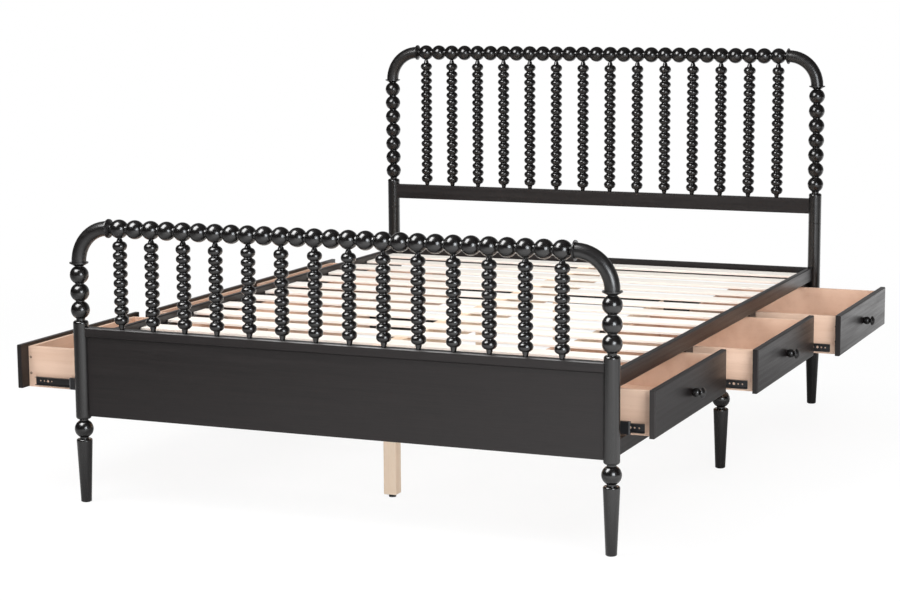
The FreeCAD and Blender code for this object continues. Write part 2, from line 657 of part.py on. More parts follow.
def drawer_box():
    """Return a closed drawer's box: sides, inner front and back around a floor in grooves."""
    half = bay_wide / 2 - cell("slide_wide")
    wall = cell("box_wall")
    low, high = cell("lower_top_z") + cell("box_low_gap"), rail_bottom_z - cell("box_high_gap")
    floor_z = (low + cell("box_floor_lift"), low + cell("box_floor_lift") + cell("box_floor"))
    inside_y = half - wall
    groove = cell("box_groove")
    floor_x = (box_rear_x + wall - groove, front_inner_x - wall + groove)
    floor_y = (-inside_y - groove, inside_y + groove)
    boards = {
        "box_side_near": ((box_rear_x, front_inner_x), (-half, -inside_y)),
        "box_side_far": ((box_rear_x, front_inner_x), (inside_y, half)),
        "box_inner_front": ((front_inner_x - wall, front_inner_x), (-inside_y, inside_y)),
        "box_back": ((box_rear_x, box_rear_x + wall), (-inside_y, inside_y)),
    }
    pieces = [block("box_floor_board", floor_x, floor_y, floor_z)]
    for name, (x, y) in boards.items():
        groove_cutter = block(name + "_groove", floor_x, floor_y, floor_z, grow=(fit_gap, fit_gap, 0))
        pieces.append(cut(name, block(name + "_board", x, y, (low, high)), [groove_cutter]))
    return group("box", pieces)


def drawer_knob():
    """Return a closed drawer's knob, a small ball with a wider domed cap."""
    ball, waist = cell("knob_ball_dia") / 2, cell("knob_waist_dia") / 2
    foot, cap = cell("knob_foot_dia") / 2, cell("knob_cap_dia") / 2
    rise, fall, dome = cell("knob_ball_rise"), cell("knob_ball_fall"), cell("knob_dome")
    rim_at = rise + fall + cell("knob_flare")
    dome_at = rim_at + cell("knob_cap_rim")
    outline = [(0, 0), (foot, 0), (ball, rise, bulge_radius(ball, foot, rise))]
    outline += [(waist, rise + fall, bulge_radius(ball, waist, fall)), (cap, rim_at), (cap, dome_at)]
    outline.append((0, dome_at + dome, (cap * cap + dome * dome) / (2 * dome)))
    return put(lathe("knob", outline), front_outer_x, 0, (front_z[0] + front_z[1]) / 2, turn(Y_AXIS, 90))


def channel(name, x, depth, height, wall, web_first, holes=()):
    """Return a pair of steel channels, one on each side of a bay.

    Depth is counted from the partition towards the drawer, and the web is at its first or its last end. The
    wall is the flanges' thickness. Holes are (distance from the front end, diameter) and go through the web.
    """
    centre = cell("lower_top_z") + cell("box_low_gap") + cell("slide_lift")
    face = bay_wide / 2
    steel, spare = cell("slide_steel"), cell("bore_spare")
    hollow = (depth[0] + steel, depth[1] + spare) if web_first else (depth[0] - spare, depth[1] - steel)
    inside = (centre - height / 2 + wall, centre + height / 2 - wall)
    pair = []
    for number, side in enumerate((-1, 1)):
        y = tuple(side * (face - end) for end in depth)
        hollow_y = tuple(side * (face - end) for end in hollow)
        bar = block(f"{name}_bar_{number}", x, y, (centre - height / 2, centre + height / 2))
        tools = [block(f"{name}_hollow_{number}", (x[0] - spare, x[1] + spare), hollow_y, inside)]
        for i, (distance, dia) in enumerate(holes):
            tools.append(rod(f"{name}_hole_{number}_{i}", dia, cell("slide_wide"), x[1] - distance,
                             side * face, centre, turn(X_AXIS, 90 * side)))
        pair.append(cut(f"{name}_{number}", bar, tools))
    return group(name, pair)


def drawer_slides():
    """Return the drawer, middle and fixed members of a closed drawer's two slides."""
    steel, run_gap = cell("slide_steel"), cell("slide_run_gap")
    wide, long = cell("slide_wide"), cell("box_deep") - cell("slide_short")
    step = steel + run_gap
    inner_high, middle_high = cell("drawer_member_high"), cell("middle_member_high")
    middle_wall = (middle_high - inner_high) / 2 - run_gap
    starts = {name: front_inner_x - cell(name + "_member_set") for name in ("drawer", "middle", "fixed")}
    spans = {name: (start - long, start) for name, start in starts.items()}
    hole_dias = [cell("slide_hole_dia")] * 2 + [cell("slide_wide_hole_dia"), cell("slide_hole_dia")]
    hole_first, hole_pitch = cell("slide_hole_first"), cell("slide_hole_pitch")
    holes = [(hole_first + i * hole_pitch, dia) for i, dia in enumerate(hole_dias)]
    drawer = channel("drawer_member", spans["drawer"], (2 * step, wide), inner_high, steel, False, holes)
    middle = channel("middle_member", spans["middle"], (step, wide - step), middle_high, middle_wall, True)
    fixed_depth = (size(0), wide - 2 * step)
    fixed = channel("fixed_member", spans["fixed"], fixed_depth, middle_high + 2 * step, steel, True)
    return drawer, middle, fixed


def make_drawers():
    """Make the six drawers with their slides, each as far open as it stands at rest."""
    drawer_member, middle_member, fixed_member = drawer_slides()
    pieces = {"drawer_front": drawer_front(), "drawer_box": drawer_box(), "drawer_knob": drawer_knob(),
              "drawer_slide": drawer_member}
    fixed_places = []
    for side, sign in SIDES.items():
        facing = turn(Z_AXIS, 180) if sign < 0 else None
        for bay in BAYS:
            rest_open = sign * cell(f"rest_open_{side}_{bay}")
            y = (bay - 2) * bay_pitch
            for piece, source in pieces.items():
                node(put(group(f"{piece}_{side}_{bay}", [source]), rest_open, y, 0, facing))
            middle = group(f"middle_slide_{side}_{bay}", [middle_member])
            node(put(middle, cell("middle_share") * rest_open, y, 0, facing))
            fixed_places.append((0, y, 0, facing))
    node(copies("fixed_slides", fixed_member, fixed_places))


def make_dowels():
    """Make the dowels of the elbows' joints and of the head posts' joints."""
    long, dia = cell("dowel_long"), cell("dowel_dia")
    dowels = []
    for end, end_sign in ENDS.items():
        y = end_sign * half_y
        for side, sign in SIDES.items():
            name = f"{end}_{side}_dowel"
            joint_x = sign * (rail_run / 2 + collar_offset)
            start_x = joint_x - long / 2
            dowels.append(rod(name + "_rail", dia, long, start_x, y, rail_z[end], turn(Y_AXIS, 90)))
            joint_z = rail_z[end] - elbow_drop + collar_offset
            dowels.append(rod(name + "_post", dia, long, sign * half_x, y, joint_z - long / 2))
            if end == "head":
                dowels.append(rod(name + "_split", dia, long, sign * half_x, y, split_z - long / 2))
    node(group("joint_dowels", dowels))


def make_brackets():
    """Make the corner brackets between the side rails and the panels, with their screws."""
    thick, leg = cell("bracket_thick"), cell("bracket_leg")
    height = (0, cell("bracket_high"))
    plates = [block("bracket_rail_plate", (-thick, 0), (0, leg), height),
              block("bracket_panel_plate", (-leg, 0), (0, thick), height)]
    holes = []
    screws = []
    middle = cell("bracket_high") / 2
    head_high = cell("screw_head_high")
    for i, along in enumerate((cell("screw_first"), cell("screw_second"))):
        ways = {"rail": ((-thick, along), (-thick - head_high, along), turn(Y_AXIS, 90)),
                "panel": ((-along, thick), (-along, thick + head_high), turn(X_AXIS, 90))}
        for way, (seat, top, rotation) in ways.items():
            name = f"screw_{way}_{i}"
            head = rod(name + "_head", cell("screw_head_dia"), head_high, *top, middle, rotation)
            shank = rod(name + "_shank", cell("screw_dia"), cell("screw_long"), *seat, middle, rotation)
            screws.append(joined(name, [head, shank]))
            holes.append(rod(name + "_hole", cell("screw_dia") + 2 * fit_gap, thick, *seat, middle, rotation))
    bracket = cut("bracket", joined("bracket_blank", plates), holes)
    z = slat_bottom_z + cell("bracket_lift")
    x, y = rail_inner_x, half_y - panel_rear
    places = [(x, -y, z, turn(Z_AXIS, 0)), (x, y, z, turn(Z_AXIS, 90)),
              (-x, y, z, turn(Z_AXIS, 180)), (-x, -y, z, turn(Z_AXIS, 270))]
    node(copies("corner_brackets", bracket, places))
    node(copies("bracket_screws", group("bracket_screw_set", screws), places))


def export():
    """Check every object and write each piece's solids to a file under its label."""
    doc.recompute()
    broken = [item.Label for item in doc.Objects if "Invalid" in item.State or "Error" in item.State]
    empty = [item.Label for item in nodes if item.Shape.isNull() or not item.Shape.isValid()]
    if broken or empty:
        raise RuntimeError(f"objects that failed: {broken}, shapes that failed: {empty}")
    os.makedirs("parts", exist_ok=True)
    for item in nodes:
        Part.makeCompound(item.Shape.Solids).exportStep(f"parts/{item.Label}.step")
    solids = sum(len(item.Shape.Solids) for item in nodes)
    print(f"{len(nodes)} pieces, {solids} solids")


make_posts()
make_elbows()
make_top_rails()
make_spindles()
make_boards()
make_side_rails()
make_legs()
make_slat_base()
make_bays()
make_drawers()
make_dowels()
make_brackets()
export()
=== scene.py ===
"""Looks of a queen-size spindle bed with six drawers: finishes, small fittings, floor, lamps and camera.

Lengths are in metres. X runs across the bed, Y from the foot to the head and Z up.
"""
import logging
import math
from dataclasses import dataclass
from enum import Enum
from functools import cached_property, lru_cache
from typing import Any, Union

import bmesh
import bpy
import numpy as np
from mathutils import Matrix, Vector


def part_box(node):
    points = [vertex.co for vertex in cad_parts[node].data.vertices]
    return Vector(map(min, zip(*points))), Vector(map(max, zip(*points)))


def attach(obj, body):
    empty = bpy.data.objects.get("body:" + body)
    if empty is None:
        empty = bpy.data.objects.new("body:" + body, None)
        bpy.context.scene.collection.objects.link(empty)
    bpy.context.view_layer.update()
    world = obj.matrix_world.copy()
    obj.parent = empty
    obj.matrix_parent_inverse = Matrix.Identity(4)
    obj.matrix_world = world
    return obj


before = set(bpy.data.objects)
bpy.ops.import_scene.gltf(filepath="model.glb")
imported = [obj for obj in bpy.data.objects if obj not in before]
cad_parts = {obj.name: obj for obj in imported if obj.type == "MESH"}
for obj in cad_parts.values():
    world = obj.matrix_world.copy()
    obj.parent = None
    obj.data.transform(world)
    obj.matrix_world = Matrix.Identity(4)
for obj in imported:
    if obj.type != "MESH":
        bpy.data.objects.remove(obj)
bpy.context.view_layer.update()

LOG = logging.getLogger("bed")
Colour = tuple[float, float, float]
Place = tuple[float, float, float]
Edges = tuple[float, float]
Operand = Union[float, "Signal"]
WHITE = (1.0, 1.0, 1.0, 1.0)
MID_NOISE = 0.5
MERGE_DISTANCE = 1e-7
BAYS = (1, 2, 3)


class Axis(Enum):
    """The axis that a board's or a turned piece's grain follows."""

    ACROSS = 0
    ALONG = 1
    UP = 2


class Side(Enum):
    """A long side of the bed, with the direction in which its drawers open."""

    LEFT = -1
    RIGHT = 1

    @property
    def word(self) -> str:
        """The side's name in the names of pieces."""
        return self.name.lower()


class Gives(Enum):
    """What a lamp gives to the bed: light on its surfaces, its mirror image in them, or both."""

    BOTH = 0
    LIGHT = 1
    SHINE = 2


@dataclass(frozen=True)
class Streaks:
    """Noise whose cells are drawn out along an axis.

    The sizes are the cells in a metre along the axis and across it, the octaves of noise, a shift, so that
    patterns differ, and the two noise values between which a sharpened pattern rises from 0 to 1.
    """

    along: float
    across: float
    detail: float
    seed: float = 0.0
    edges: Edges | None = None


class Signal:
    """A shader socket that can stand in a Python expression."""

    def __init__(self, web: "Web", socket: bpy.types.NodeSocket) -> None:
        """Keep a socket and the web that it belongs to."""
        self.web = web
        self.socket = socket

    def _math(self, operation: str, first: Operand, second: Operand = 0.0) -> "Signal":
        """Return the result of a Math node on one or two values."""
        return self.web.add("ShaderNodeMath", {"operation": operation}, {0: first, 1: second})

    def __add__(self, other: Operand) -> "Signal":
        """Return this value plus another."""
        return self._math("ADD", self, other)

    def __radd__(self, other: Operand) -> "Signal":
        """Return another value plus this one."""
        return self._math("ADD", other, self)

    def __sub__(self, other: Operand) -> "Signal":
        """Return this value less another."""
        return self._math("SUBTRACT", self, other)

    def __rsub__(self, other: Operand) -> "Signal":
        """Return another value less this one."""
        return self._math("SUBTRACT", other, self)

    def __mul__(self, other: Operand) -> "Signal":
        """Return this value times another."""
        return self._math("MULTIPLY", self, other)

    def __rmul__(self, other: Operand) -> "Signal":
        """Return another value times this one."""
        return self._math("MULTIPLY", other, self)

    def __truediv__(self, other: Operand) -> "Signal":
        """Return this value divided by another."""
        return self._math("DIVIDE", self, other)

    def __abs__(self) -> "Signal":
        """Return this value without its sign."""
        return self._math("ABSOLUTE", self)

    def floor(self) -> "Signal":
        """Return the whole number at or below this value."""
        return self._math("FLOOR", self)

    def larger(self, other: Operand) -> "Signal":
        """Return the larger of this value and another."""
        return self._math("MAXIMUM", self, other)

    def ramp(self, low: float, high: float) -> "Signal":
        """Return a smooth step from 0 at the low value to 1 at the high one."""
        inputs = {"Value": self, "From Min": low, "From Max": high}
        return self.web.add("ShaderNodeMapRange", {"interpolation_type": "SMOOTHSTEP"}, inputs)


class Web:
    """The node tree of a material or of the world."""

    def __init__(self, tree: bpy.types.NodeTree) -> None:
        """Start with an empty tree."""
        self.tree = tree
        tree.nodes.clear()

    def add(self, kind: str, settings: dict[str, Any] | None = None,
            inputs: dict[int | str, Any] | None = None, output: int | str = 0) -> Signal:
        """Add any node.

        Args:
            kind: The node's type.
            settings: The node's own properties, set before its sockets.
            inputs: Values or signals for its input sockets, by name or number.
            output: The output socket that is wanted.

        Returns:
            The signal at that output.
        """
        node = self.tree.nodes.new(kind)
        for name, value in (settings or {}).items():
            setattr(node, name, value)
        for key, value in (inputs or {}).items():
            if isinstance(value, Signal):
                self.tree.links.new(value.socket, node.inputs[key])
            else:
                node.inputs[key].default_value = value
        return Signal(self, node.outputs[output])

    def close(self, shader: Signal, kind: str = "ShaderNodeOutputMaterial") -> None:
        """Link the last shader to an output node.

        Args:
            shader: The shader that makes the surface or the sky.
            kind: The output node's type.
        """
        self.tree.links.new(shader.socket, self.tree.nodes.new(kind).inputs["Surface"])

    @cached_property
    def point(self) -> Signal:
        """The place of a surface point in its object."""
        return self.add("ShaderNodeTexCoord", output="Object")

    def parts(self, vector: Signal) -> list[Signal]:
        """Return the three parts of a vector."""
        first = self.add("ShaderNodeSeparateXYZ", inputs={"Vector": vector})
        return [Signal(self, output) for output in first.socket.node.outputs]

    def blend(self, first: Colour | Signal, second: Colour | Signal, share: Operand) -> Signal:
        """Mix two colours.

        Args:
            first: The colour where the share is 0.
            second: The colour where the share is 1.
            share: How much of the second colour shows.

        Returns:
            The mixed colour.
        """
        ends = [end if isinstance(end, Signal) else (*end, 1.0) for end in (first, second)]
        return self.add("ShaderNodeMix", {"data_type": "RGBA"}, {0: share, 6: ends[0], 7: ends[1]}, 2)

    def noise(self, place: Signal, scale: float, detail: float) -> Signal:
        """Return noise from 0 to 1.

        Args:
            place: The place of a point in the noise.
            scale: Cells in a unit of the place.
            detail: Octaves of noise.

        Returns:
            The noise.
        """
        return self.add("ShaderNodeTexNoise", inputs={"Vector": place, "Scale": scale, "Detail": detail})

    def streaks(self, axis: Axis, pattern: Streaks) -> Signal:
        """Return noise drawn out along an axis.

        Args:
            axis: The axis of the streaks.
            pattern: The sizes of the streaks.

        Returns:
            The noise, from 0 to 1.
        """
        scale = [pattern.across] * 3
        scale[axis.value] = pattern.along
        inputs = {"Vector": self.point, "Location": (pattern.seed,) * 3, "Scale": scale}
        noise = self.noise(self.add("ShaderNodeMapping", inputs=inputs), 1.0, pattern.detail)
        return noise.ramp(*pattern.edges) if pattern.edges else noise


@dataclass(frozen=True)
class Coat:
    """What a finish gives to the surface: varying signals and values that are the same all over."""

    base: Signal
    roughness: Signal
    height: Signal
    depth: float
    metallic: float = 0.0
    specular: float = 0.5
    clear: float = 0.0
    clear_roughness: float = 0.2


@dataclass(frozen=True)
class Finish:
    """A named finish, which paints a web of nodes."""

    name: str

    def paint(self, web: Web) -> Coat:
        """Return the finish's coat."""
        raise NotImplementedError


@dataclass(frozen=True)
class BlackLacquer(Finish):
    """Black lacquer over wood, whose grain shows as faint streaks and open pores along one axis."""

    axis: Axis
    roughness: float
    pore_depth: float
    clear: float = 0.0
    dark: Colour = (0.0035, 0.0030, 0.0030)
    light: Colour = (0.0085, 0.0069, 0.0067)
    specular: float = 0.5
    broad: Streaks = Streaks(1.2, 16.0, 2.0)
    bands: Streaks = Streaks(2.6, 120.0, 3.0, 2.0, (0.30, 0.70))
    fine: Streaks = Streaks(9.0, 380.0, 3.0, 4.0)
    pores: Streaks = Streaks(28.0, 900.0, 1.0, 9.0, (0.60, 0.72))
    fine_edges: Edges = (0.35, 0.65)
    broad_tone: float = 0.2
    band_tone: float = 0.4
    fine_tone: float = 0.4
    broad_dull: float = 0.12
    band_dull: float = 0.08
    fine_dull: float = 0.08
    pore_dull: float = 0.06
    fine_height: float = 0.5

    def paint(self, web: Web) -> Coat:
        """Return the coat: broad streaks and bands vary the tone, fine ones the sheen, and pores dent it."""
        broad, bands = web.streaks(self.axis, self.broad), web.streaks(self.axis, self.bands)
        fine, pores = web.streaks(self.axis, self.fine), web.streaks(self.axis, self.pores)
        sharp = fine.ramp(*self.fine_edges)
        tone = broad * self.broad_tone + bands * self.band_tone + sharp * self.fine_tone
        dull = (broad - MID_NOISE) * self.broad_dull + (bands - MID_NOISE) * self.band_dull
        roughness = self.roughness + dull + (fine - MID_NOISE) * self.fine_dull + pores * self.pore_dull
        return Coat(web.blend(self.dark, self.light, tone), roughness, fine * self.fine_height - pores,
                    self.pore_depth, specular=self.specular, clear=self.clear)


@dataclass(frozen=True)
class RawWood(Finish):
    """Planed wood with growth streaks, fine fibres and short pores along one axis."""

    axis: Axis
    light: Colour
    dark: Colour
    roughness: float = 0.55
    broad: Streaks = Streaks(0.9, 34.0, 3.0, 0.0, (0.36, 0.72))
    fine: Streaks = Streaks(3.0, 420.0, 3.0, 5.0)
    pores: Streaks = Streaks(45.0, 1300.0, 1.0, 8.0, (0.62, 0.72))
    broad_tone: float = 0.55
    fine_tone: float = 0.45
    pore_tone: float = 0.35
    dark_dull: float = 0.12
    pore_dull: float = 0.1
    dark_height: float = 0.4
    depth: float = 0.00006

    def grain(self, web: Web, axis: Axis) -> tuple[Signal, Signal]:
        """Work out the grain along an axis.

        Args:
            web: The web to add nodes to.
            axis: The axis of the grain.

        Returns:
            The share of dark wood, and the pores.
        """
        broad, fine = web.streaks(axis, self.broad), web.streaks(axis, self.fine)
        return broad * self.broad_tone + fine * self.fine_tone, web.streaks(axis, self.pores)

    def paint(self, web: Web) -> Coat:
        """Return the coat: dark streaks in the light wood, and pores that are darker and dented."""
        share, pores = self.grain(web, self.axis)
        return self.wood(web, share, pores)

    def wood(self, web: Web, share: Signal, pores: Signal) -> Coat:
        """Make a coat of a share of dark wood and pores.

        Args:
            web: The web to add nodes to.
            share: The share of dark wood.
            pores: Where pores are.

        Returns:
            The coat.
        """
        base = web.blend(self.light, self.dark, share + pores * self.pore_tone)
        roughness = self.roughness + (share - MID_NOISE) * self.dark_dull + pores * self.pore_dull
        return Coat(base, roughness, share * self.dark_height - pores, self.depth)


@dataclass(frozen=True)
class BoxWood(RawWood):
    """Wood of the drawer boxes: grain along X on the sides, and along Y on their fronts, backs and floors."""

    bay_pitch: float = 0.6783
    inner_half: float = 0.279
    blur: float = 0.0002

    def paint(self, web: Web) -> Coat:
        """Return the coat: the distance from a bay's middle tells the side boards from the others."""
        bays = web.parts(web.point)[1] / self.bay_pitch
        from_middle = abs(bays - (bays + 0.5).floor()) * self.bay_pitch
        on_side = from_middle.ramp(self.inner_half - self.blur, self.inner_half + self.blur)
        side_share, side_pores = self.grain(web, Axis.ACROSS)
        other_share, other_pores = self.grain(web, Axis.ALONG)
        share = other_share + on_side * (side_share - other_share)
        return self.wood(web, share, other_pores + on_side * (side_pores - other_pores))


@dataclass(frozen=True)
class SlatWood(RawWood):
    """Pale wood of the slats, each of a slightly different tone, with a few brown heart streaks."""

    slat_pitch: float = 0.156
    tone_step: float = 1.7
    tone_start: float = 3.1
    tone_change: float = 0.5
    grain_share: float = 0.75
    heart: Colour = (0.66, 0.48, 0.33)
    heart_streaks: Streaks = Streaks(0.55, 60.0, 2.0, 12.0, (0.66, 0.76))
    heart_share: float = 0.45
    # The sides' tone is partly the wood's warmer colour and partly painted light that lifts the shade on the
    # slats' sides.
    edge: Colour = (0.95, 0.85, 0.765)
    edge_top: float = 0.4597
    edge_blur: float = 0.0006

    def paint(self, web: Web) -> Coat:
        """Return the coat: the number of a slat along the bed seeds its tone; its sides are warmer, and
        lighter as painted light.
        """
        along, height = web.parts(web.point)[1:]
        number = (along / self.slat_pitch + 0.5).floor()
        seed = number * self.tone_step + self.tone_start
        tone = web.add("ShaderNodeTexWhiteNoise", {"noise_dimensions": "1D"}, {"W": seed})
        share, pores = self.grain(web, self.axis)
        coat = self.wood(web, share * self.grain_share + (tone - MID_NOISE) * self.tone_change, pores)
        streak = web.streaks(self.axis, self.heart_streaks)
        base = web.blend(coat.base, self.heart, streak * self.heart_share)
        # Below the top, the sides take the lighter tone: painted light over the shade that falls on them.
        on_top = height.ramp(self.edge_top - self.edge_blur, self.edge_top)
        return Coat(web.blend(self.edge, base, on_top), coat.roughness, coat.height, coat.depth)


@dataclass(frozen=True)
class CoatedSteel(Finish):
    """Rolled steel under a thin coat, or bare where it is metallic, with rolling lines and fine specks."""

    dark: Colour
    light: Colour
    roughness: float
    metallic: float
    rolled: Streaks = Streaks(6.0, 900.0, 2.0)
    speck_scale: float = 700.0
    speck_detail: float = 2.0
    line_share: float = 0.5
    line_dull: float = 0.16
    speck_dull: float = 0.08
    depth: float = 0.00002

    def paint(self, web: Web) -> Coat:
        """Return the coat: rolling lines run along X, and specks come from fine noise."""
        lines = web.streaks(Axis.ACROSS, self.rolled)
        specks = web.noise(web.point, self.speck_scale, self.speck_detail)
        tone = lines * self.line_share + specks * (1.0 - self.line_share)
        dull = (lines - MID_NOISE) * self.line_dull + (specks - MID_NOISE) * self.speck_dull
        height = specks + lines * self.line_share
        base = web.blend(self.dark, self.light, tone)
        return Coat(base, self.roughness + dull, height, self.depth, self.metallic)


@dataclass(frozen=True)
class MouldedPlastic(Finish):
    """Moulded plastic with a fine spark texture and slightly cloudy colour."""

    dark: Colour
    light: Colour
    roughness: float
    cloud_scale: float = 60.0
    cloud_detail: float = 3.0
    spark_scale: float = 1800.0
    spark_detail: float = 2.0
    spark_dull: float = 0.2
    depth: float = 0.00004

    def paint(self, web: Web) -> Coat:
        """Return the coat: slow noise clouds the tone, and fine noise roughens it."""
        cloud = web.noise(web.point, self.cloud_scale, self.cloud_detail)
        spark = web.noise(web.point, self.spark_scale, self.spark_detail)
        roughness = self.roughness + (spark - MID_NOISE) * self.spark_dull
        return Coat(web.blend(self.dark, self.light, cloud), roughness, spark, self.depth)


SMOOTH_PORES = 0.00002
OPEN_PORES = 0.00006
TURNED_TONES = {"dark": (0.0026, 0.0022, 0.0022), "light": (0.0064, 0.0052, 0.0050), "specular": 0.18}
TURNED_UP = BlackLacquer("black_turned_up", Axis.UP, 0.28, SMOOTH_PORES, 1.0, **TURNED_TONES)
TURNED_ACROSS = BlackLacquer("black_turned_across", Axis.ACROSS, 0.28, SMOOTH_PORES, 1.0, **TURNED_TONES)
KNOB_TURNED = BlackLacquer("black_knob", Axis.ACROSS, 0.34, SMOOTH_PORES, 0.3)
ELBOW_BENT = BlackLacquer("black_elbow", Axis.ACROSS, 0.36, SMOOTH_PORES, 0.35)
BOARD_TONES = {"dark": (0.0048, 0.0030, 0.0030), "light": (0.0112, 0.0076, 0.0074)}
BOARD_ACROSS = BlackLacquer("black_board_across", Axis.ACROSS, 0.38, OPEN_PORES, **BOARD_TONES)
BOARD_ALONG = BlackLacquer("black_board_along", Axis.ALONG, 0.36, OPEN_PORES, **BOARD_TONES)
BOARD_UP = BlackLacquer("black_board_up", Axis.UP, 0.40, OPEN_PORES, **BOARD_TONES)
BOX_WOOD = BoxWood("drawer_box_wood", Axis.ACROSS, (0.71, 0.510, 0.390), (0.575, 0.370, 0.262))
SLAT_WOOD = SlatWood("slat_wood", Axis.ACROSS, (0.90, 0.86, 0.81), (0.83, 0.755, 0.67))
PINE_UP = RawWood("pine_up", Axis.UP, (0.90, 0.75, 0.60), (0.76, 0.575, 0.42))
PINE_ALONG = RawWood("pine_along", Axis.ALONG, (0.84, 0.67, 0.51), (0.68, 0.485, 0.33))
DOWEL_WOOD = RawWood("dowel_wood", Axis.UP, (0.76, 0.60, 0.42), (0.62, 0.45, 0.28))
SLIDE_STEEL = CoatedSteel("black_slide_steel", (0.008, 0.008, 0.009), (0.018, 0.018, 0.020), 0.34, 0.0)
SCREW_STEEL = CoatedSteel("dark_screw_steel", (0.020, 0.014, 0.010), (0.045, 0.032, 0.022), 0.42, 0.4)
BRACKET_STEEL = CoatedSteel("bracket_steel", (0.035, 0.035, 0.036), (0.065, 0.065, 0.066), 0.45, 1.0)
ZINC_STEEL = CoatedSteel("zinc_steel", (0.42, 0.42, 0.43), (0.62, 0.62, 0.62), 0.34, 1.0)
GLIDE_PLASTIC = MouldedPlastic("glide_plastic", (0.010, 0.010, 0.010), (0.022, 0.022, 0.022), 0.52)
BUMPER_PLASTIC = MouldedPlastic("bumper_plastic", (0.05, 0.05, 0.052), (0.09, 0.09, 0.092), 0.40)


def empty_material(name: str) -> tuple[bpy.types.Material, Web]:
    """Make a material without nodes.

    Args:
        name: Its name.

    Returns:
        The material and its empty web.
    """
    material = bpy.data.materials.new(name)
    material.use_nodes = True
    return material, Web(material.node_tree)


@lru_cache(maxsize=None)
def material_of(finish: Finish) -> bpy.types.Material:
    """Make a finish's material once.

    Args:
        finish: The finish.

    Returns:
        Its material, with the coat's signals on the shader's sockets.
    """
    material, web = empty_material(finish.name)
    coat = finish.paint(web)
    normal = web.add("ShaderNodeBump", inputs={"Distance": coat.depth, "Height": coat.height})
    web.close(web.add("ShaderNodeBsdfPrincipled", inputs={
        "Base Color": coat.base, "Roughness": coat.roughness, "Metallic": coat.metallic, "Normal": normal,
        "Specular IOR Level": coat.specular, "Coat Weight": coat.clear,
        "Coat Roughness": coat.clear_roughness}))
    return material


def dress(finish: Finish, *nodes: str) -> list[str]:
    """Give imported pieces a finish.

    Args:
        finish: Their finish.
        nodes: The pieces' names.

    Returns:
        The names.
    """
    for node in nodes:
        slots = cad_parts[node].data.materials
        slots.clear()
        slots.append(material_of(finish))
    return list(nodes)


def ring_grid(rows: np.ndarray, columns: int) -> list[np.ndarray]:
    """Spread rows round a full turn.

    Args:
        rows: A value for each row.
        columns: Angles in the turn.

    Returns:
        The row values and the angles, both of shape (rows, columns).
    """
    return np.meshgrid(rows, np.linspace(0.0, 2.0 * np.pi, columns, endpoint=False), indexing="ij")


def closed_mesh(name: str, grids: np.ndarray) -> bpy.types.Mesh:
    """Make one mesh of grids whose columns close into rings and whose end rows may shrink to points.

    Args:
        name: The mesh's name.
        grids: Points of shape (grids, rows, columns, 3).

    Returns:
        The mesh, with its doubled points merged and its faces outwards.
    """
    corner = np.arange(grids[..., 0].size).reshape(grids.shape[:3])
    beside = np.roll(corner, -1, axis=2)
    faces = np.stack((corner[:, :-1], beside[:, :-1], beside[:, 1:], corner[:, 1:]), axis=-1).reshape(-1, 4)
    mesh = bpy.data.meshes.new(name)
    mesh.from_pydata(grids.reshape(-1, 3).tolist(), [], faces.tolist())
    shape = bmesh.new()
    shape.from_mesh(mesh)
    bmesh.ops.remove_doubles(shape, verts=shape.verts, dist=MERGE_DISTANCE)
    bmesh.ops.recalc_face_normals(shape, faces=shape.faces)
    shape.to_mesh(mesh)
    shape.free()
    mesh.shade_smooth()
    return mesh


def add_piece(name: str, grids: np.ndarray, finish: Finish, body: str) -> str:
    """Add a new piece that rides on a body.

    Args:
        name: The piece's name.
        grids: Its points, as closed_mesh takes them.
        finish: Its finish.
        body: The body that carries it.

    Returns:
        The name.
    """
    piece = bpy.data.objects.new(name, closed_mesh(name, grids))
    piece.data.materials.append(material_of(finish))
    bpy.context.scene.collection.objects.link(piece)
    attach(piece, body)
    return name


def placed(local: np.ndarray, outward: np.ndarray, origins: np.ndarray) -> np.ndarray:
    """Copy a grid to several places, each point p to origin + p.x a + p.y b + p.z outward.

    Args:
        local: A grid of shape (rows, columns, 3) that stands on the plane z = 0.
        outward: A unit vector for each place, of shape (places, 3), level with the floor.
        origins: The places, of shape (places, 3).

    Returns:
        Grids of shape (places, rows, columns, 3). The side vector b is up, and a is the cross product of b
        and outward.
    """
    up = np.broadcast_to(np.array([0.0, 0.0, 1.0]), outward.shape)
    axes = np.stack((np.cross(up, outward), up, outward), axis=1)
    return np.einsum("rcj,pjk->prck", local, axes) + origins[:, None, None, :]


@dataclass(frozen=True)
class ScrewHead:
    """A domed screw head with a cross recess, over a cone. The recess is sized in shares of the radius."""

    radius: float
    rise: float
    sink: float
    rows: int = 17
    columns: int = 32
    slot_half: float = 0.16
    slot_level: float = 1.25
    recess_reach: float = 0.62
    recess_fade: float = 0.12
    recess_depth: float = 0.55

    def grid(self) -> np.ndarray:
        """Work out the surface.

        Row u goes from 0 at the crown over 1 at the rim to 2 at the cone's tip. The distance from the axis is
        the radius times 1 - |u - 1|. The height is rise times 1 - u squared on the dome, less the recess, and
        falls to -sink on the cone. The recess is deepest where a point is near one of two crossed lines and
        fades out at its reach.

        Returns:
            A grid of shape (rows, columns, 3).
        """
        row, turn = ring_grid(np.linspace(0.0, 2.0, self.rows), self.columns)
        share = 1.0 - np.abs(row - 1.0)
        x, y = self.radius * share * np.cos(turn), self.radius * share * np.sin(turn)
        from_line = np.minimum(np.abs(x), np.abs(y)) / (self.slot_half * self.radius)
        inside = np.clip((self.recess_reach - share) / self.recess_fade, 0.0, 1.0)
        recess = np.clip(self.slot_level - from_line, 0.0, 1.0) * inside
        crown = self.rise * (1.0 - np.minimum(row, 1.0) ** 2)
        dome = crown - self.recess_depth * (self.rise + self.sink) * recess
        return np.stack((x, y, np.where(row <= 1.0, dome, -self.sink * (row - 1.0))), axis=-1)


